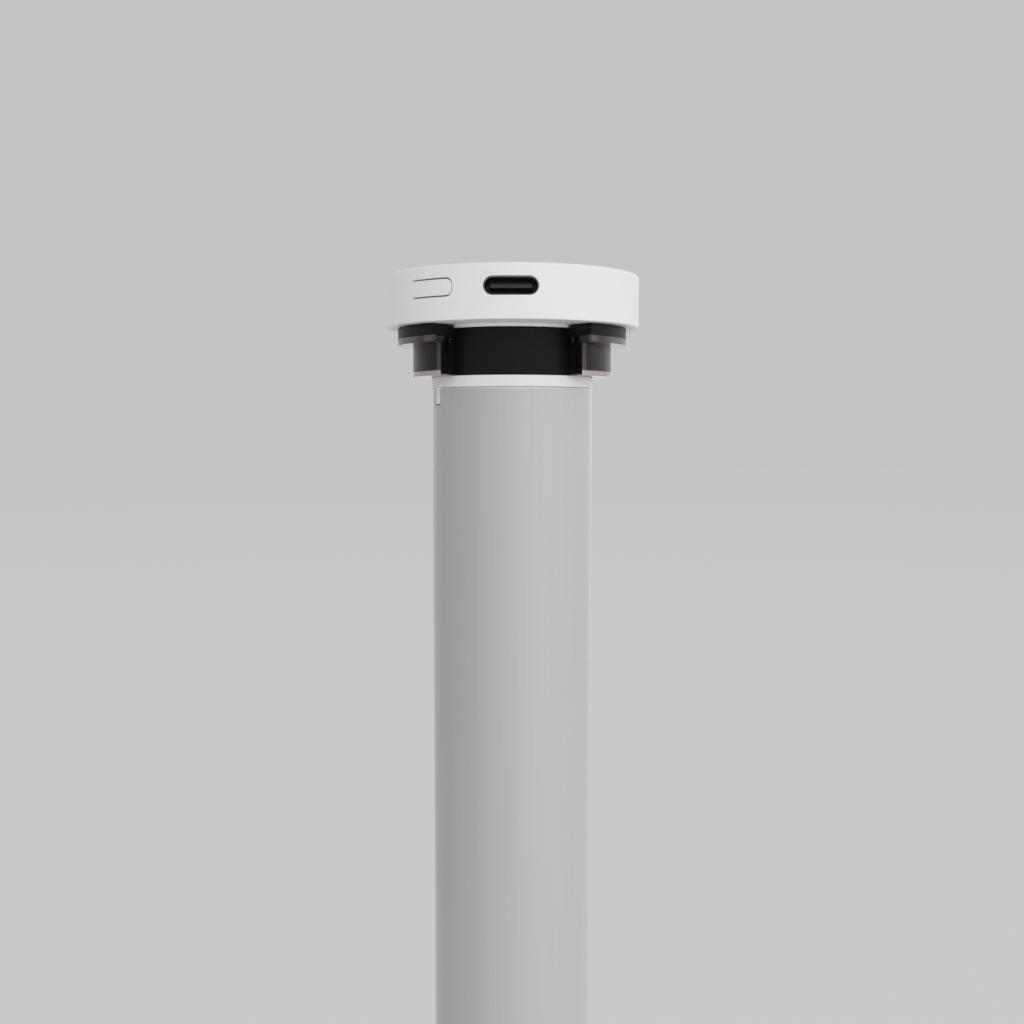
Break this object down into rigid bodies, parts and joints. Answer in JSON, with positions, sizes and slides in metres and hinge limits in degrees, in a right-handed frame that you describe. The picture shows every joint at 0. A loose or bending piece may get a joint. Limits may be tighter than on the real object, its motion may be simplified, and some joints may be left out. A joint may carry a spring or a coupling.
{
  "type": "tubular roller blind motor",
  "caption": "Battery tube motor for a roller blind: round head with side charge port and button, idler crown with soft dampers, slim tube, geared drive wheel at the far end.",
  "frame": {"origin": "centre of the head's bracket face, at the mouth of the bracket socket", "axes": "+Z along the motor's axis, out of the head towards the bracket; -Y towards the charge port"},
  "size_m": [0.044, 0.044, 0.4033],
  "materials": {
    "head_white": "satin moulded white",
    "crown_black": "fine matt moulded black",
    "damper": "clear smoky soft plastic",
    "tube": "satin anodised",
    "port_metal": "drawn, plain",
    "steel": "plain",
    "black_plastic": "moulded",
    "circuit_board": "solder mask",
    "cell": "shrink wrapped",
    "soft_rubber": "moulded",
    "magnet": "ground",
    "carbon": "pressed",
    "bronze": "plain",
    "copper": "enamelled",
    "gear_plastic": "moulded"
  },
  "bodies": {
    "motor": {"head_shell": "head_white", "head_cover": "head_white", "cover_screws": "steel", "head_board": "circuit_board", "charge_port_shell": "port_metal", "charge_port_tongue": "black_plastic", "tact_switch": "black_plastic", "neck": "crown_black", "neck_screws": "steel", "tube_collar": "head_white", "motor_tube": "tube", "tube_screws": "steel", "control_board": "circuit_board", "radio_module": "steel", "board_parts": "black_plastic", "battery_carrier": "black_plastic", "battery_cell_1": "cell", "battery_cell_2": "cell", "battery_cell_3": "cell", "cell_tabs": "steel", "protection_board": "circuit_board", "sensor_board": "circuit_board", "rear_isolator": "soft_rubber", "motor_can": "steel", "motor_magnets": "magnet", "end_bell": "black_plastic", "brushes": "carbon", "motor_bushes": "bronze", "motor_plate": "steel", "gear_housing": "black_plastic", "front_isolator": "soft_rubber", "end_plug": "crown_black", "output_bush": "bronze"},
    "crown": {"crown": "crown_black", "crown_damper_left": "damper", "crown_damper_right": "damper"},
    "button": {"pairing_button": "head_white"},
    "plunger": {"switch_plunger": "black_plastic"},
    "drive": {"output_shaft": "steel", "drive_wheel": "crown_black", "wheel_damper_left": "damper", "wheel_damper_right": "damper", "retaining_clip": "steel"},
    "carrier_2": {"gear_carrier_2": "steel"},
    "carrier_1": {"gear_carrier_1": "steel"},
    "rotor": {"motor_shaft": "steel", "encoder_magnet": "magnet", "rotor_core": "steel", "windings": "copper", "commutator": "copper", "motor_pinion": "bronze"},
    "planet_1_1": {"planet_1_1": "gear_plastic"},
    "planet_1_2": {"planet_1_2": "gear_plastic"},
    "planet_1_3": {"planet_1_3": "gear_plastic"},
    "planet_2_1": {"planet_2_1": "gear_plastic"},
    "planet_2_2": {"planet_2_2": "gear_plastic"},
    "planet_2_3": {"planet_2_3": "gear_plastic"},
    "planet_3_1": {"planet_3_1": "gear_plastic"},
    "planet_3_2": {"planet_3_2": "gear_plastic"},
    "planet_3_3": {"planet_3_3": "gear_plastic"}
  },
  "joints": [
    {"name": "crown_spin", "type": "hinge", "parent": "motor", "child": "crown", "pos_m": [0, 0, -0.01323], "axis": [0, 0, 1], "continuous": true},
    {"name": "button_press", "type": "hinge", "parent": "motor", "child": "button", "pos_m": [-0.01494, -0.0139, -0.00358], "axis": [0, 0, 1], "range_deg": [0, 2], "stiffness_Nm_per_rad": 0.4},
    {"name": "switch_press", "type": "slide", "parent": "motor", "child": "plunger", "axis": [0.5821, 0.8131, 0], "range_m": [0, 0.00025]},
    {"name": "drive_spin", "type": "hinge", "parent": "motor", "child": "drive", "pos_m": [0, 0, -0.38627], "axis": [0, 0, 1], "continuous": true},
    {"name": "carrier_2_spin", "type": "hinge", "parent": "motor", "child": "carrier_2", "pos_m": [0, 0, -0.35327], "axis": [0, 0, 1], "continuous": true},
    {"name": "carrier_1_spin", "type": "hinge", "parent": "motor", "child": "carrier_1", "pos_m": [0, 0, -0.34467], "axis": [0, 0, 1], "continuous": true},
    {"name": "rotor_spin", "type": "hinge", "parent": "motor", "child": "rotor", "pos_m": [0, 0, -0.32387], "axis": [0, 0, 1], "continuous": true},
    {"name": "planet_1_1_spin", "type": "hinge", "parent": "carrier_1", "child": "planet_1_1", "pos_m": [0.00675, 0, -0.34767], "axis": [0, 0, 1], "continuous": true},
    {"name": "planet_1_2_spin", "type": "hinge", "parent": "carrier_1", "child": "planet_1_2", "pos_m": [-0.00337, 0.00585, -0.34767], "axis": [0, 0, 1], "continuous": true},
    {"name": "planet_1_3_spin", "type": "hinge", "parent": "carrier_1", "child": "planet_1_3", "pos_m": [-0.00337, -0.00585, -0.34767], "axis": [0, 0, 1], "continuous": true},
    {"name": "planet_2_1_spin", "type": "hinge", "parent": "carrier_2", "child": "planet_2_1", "pos_m": [0.00675, 0, -0.35627], "axis": [0, 0, 1], "continuous": true},
    {"name": "planet_2_2_spin", "type": "hinge", "parent": "carrier_2", "child": "planet_2_2", "pos_m": [-0.00337, 0.00585, -0.35627], "axis": [0, 0, 1], "continuous": true},
    {"name": "planet_2_3_spin", "type": "hinge", "parent": "carrier_2", "child": "planet_2_3", "pos_m": [-0.00337, -0.00585, -0.35627], "axis": [0, 0, 1], "continuous": true},
    {"name": "planet_3_1_spin", "type": "hinge", "parent": "drive", "child": "planet_3_1", "pos_m": [0.00675, 0, -0.36487], "axis": [0, 0, 1], "continuous": true},
    {"name": "planet_3_2_spin", "type": "hinge", "parent": "drive", "child": "planet_3_2", "pos_m": [-0.00337, 0.00585, -0.36487], "axis": [0, 0, 1], "continuous": true},
    {"name": "planet_3_3_spin", "type": "hinge", "parent": "drive", "child": "planet_3_3", "pos_m": [-0.00337, -0.00585, -0.36487], "axis": [0, 0, 1], "continuous": true}
  ],
  "couplings": [
    {"joint": "switch_press", "follows": "button_press", "m_per_rad": 0.00628},
    {"joint": "carrier_2_spin", "follows": "drive_spin", "ratio": 4.5},
    {"joint": "carrier_1_spin", "follows": "drive_spin", "ratio": 20.25},
    {"joint": "rotor_spin", "follows": "drive_spin", "ratio": 91.125},
    {"joint": "planet_1_1_spin", "follows": "drive_spin", "ratio": -56.7},
    {"joint": "planet_1_2_spin", "follows": "drive_spin", "ratio": -56.7},
    {"joint": "planet_1_3_spin", "follows": "drive_spin", "ratio": -56.7},
    {"joint": "planet_2_1_spin", "follows": "drive_spin", "ratio": -12.6},
    {"joint": "planet_2_2_spin", "follows": "drive_spin", "ratio": -12.6},
    {"joint": "planet_2_3_spin", "follows": "drive_spin", "ratio": -12.6},
    {"joint": "planet_3_1_spin", "follows": "drive_spin", "ratio": -2.8},
    {"joint": "planet_3_2_spin", "follows": "drive_spin", "ratio": -2.8},
    {"joint": "planet_3_3_spin", "follows": "drive_spin", "ratio": -2.8}
  ]
}
